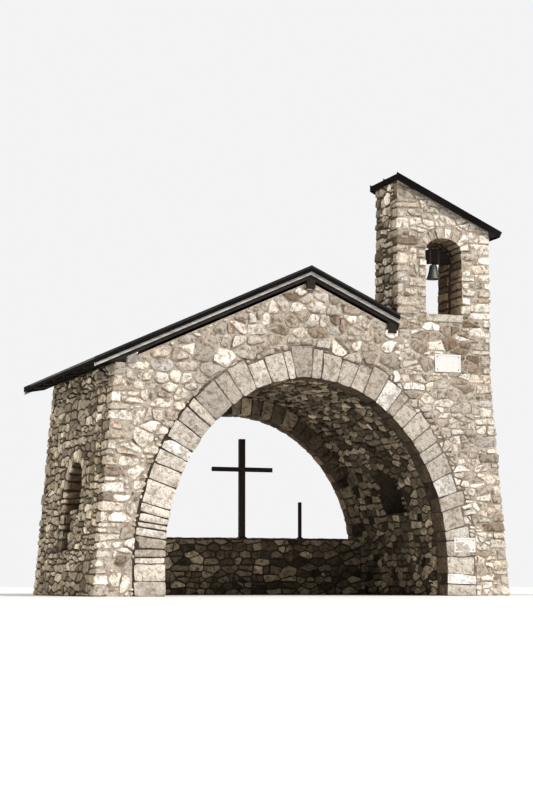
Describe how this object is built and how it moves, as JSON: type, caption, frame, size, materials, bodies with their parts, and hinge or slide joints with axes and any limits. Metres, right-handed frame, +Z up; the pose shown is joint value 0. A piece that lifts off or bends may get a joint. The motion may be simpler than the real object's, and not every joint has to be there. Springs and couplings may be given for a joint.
{
  "type": "small chapel",
  "caption": "Small open-fronted stone chapel with a barrel vault, gabled sheet roof, side windows and a bell gable whose bell swings.",
  "frame": {"origin": "middle of the bounding box, on the level of the lowest footing", "axes": "+X to the right along the open front, +Y from the open front to the back, +Z up"},
  "size_m": [6.9, 4.54, 6.6778],
  "materials": {
    "rubble_stone": "rough",
    "grey_timber": "weathered",
    "roof_sheet": "matt",
    "iron": "rusty",
    "bell_bronze": "tarnished",
    "pale_slab": "honed"
  },
  "bodies": {
    "chapel": {"front_arch_ring": "rubble_stone", "front_pier_left": "rubble_stone", "front_pier_right": "rubble_stone", "front_gable_wall": "rubble_stone", "left_wall_front": "rubble_stone", "left_wall_back": "rubble_stone", "left_wall_breast": "rubble_stone", "left_wall_head": "rubble_stone", "right_wall_front": "rubble_stone", "right_wall_back": "rubble_stone", "right_wall_breast": "rubble_stone", "right_wall_head": "rubble_stone", "vault_crown": "rubble_stone", "back_arch_ring": "rubble_stone", "back_pier_left": "rubble_stone", "back_pier_right": "rubble_stone", "back_gable_wall": "rubble_stone", "back_threshold": "rubble_stone", "bell_gable_base": "rubble_stone", "bell_gable_jamb_left": "rubble_stone", "bell_gable_jamb_right": "rubble_stone", "bell_gable_head": "rubble_stone", "bell_gable_sill": "rubble_stone", "bell_roof_boards": "grey_timber", "bell_roof_sheet": "roof_sheet", "ridge_purlin": "grey_timber", "left_mid_purlin": "grey_timber", "right_mid_purlin": "grey_timber", "left_wall_plate": "grey_timber", "right_wall_plate": "grey_timber", "left_rafters": "grey_timber", "right_rafters": "grey_timber", "left_boards": "grey_timber", "right_boards": "grey_timber", "left_sheet": "roof_sheet", "right_sheet": "roof_sheet", "ridge_cap": "roof_sheet", "front_bargeboard_left": "grey_timber", "front_bargeboard_right": "grey_timber", "back_bargeboard_left": "grey_timber", "back_bargeboard_right": "grey_timber", "upper_plaque": "pale_slab", "lower_plaque": "pale_slab", "cross_post": "grey_timber", "cross_arm": "grey_timber", "slim_post": "grey_timber", "bearing_right": "iron", "bearing_left": "iron"},
    "bell": {"headstock": "grey_timber", "bell": "bell_bronze", "clapper": "iron"}
  },
  "joints": [
    {"name": "bell_swing", "type": "hinge", "parent": "chapel", "child": "bell", "pos_m": [2.305, -1.8, 5.37], "axis": [1, 0, 0], "range_deg": [-38, 38]}
  ]
}
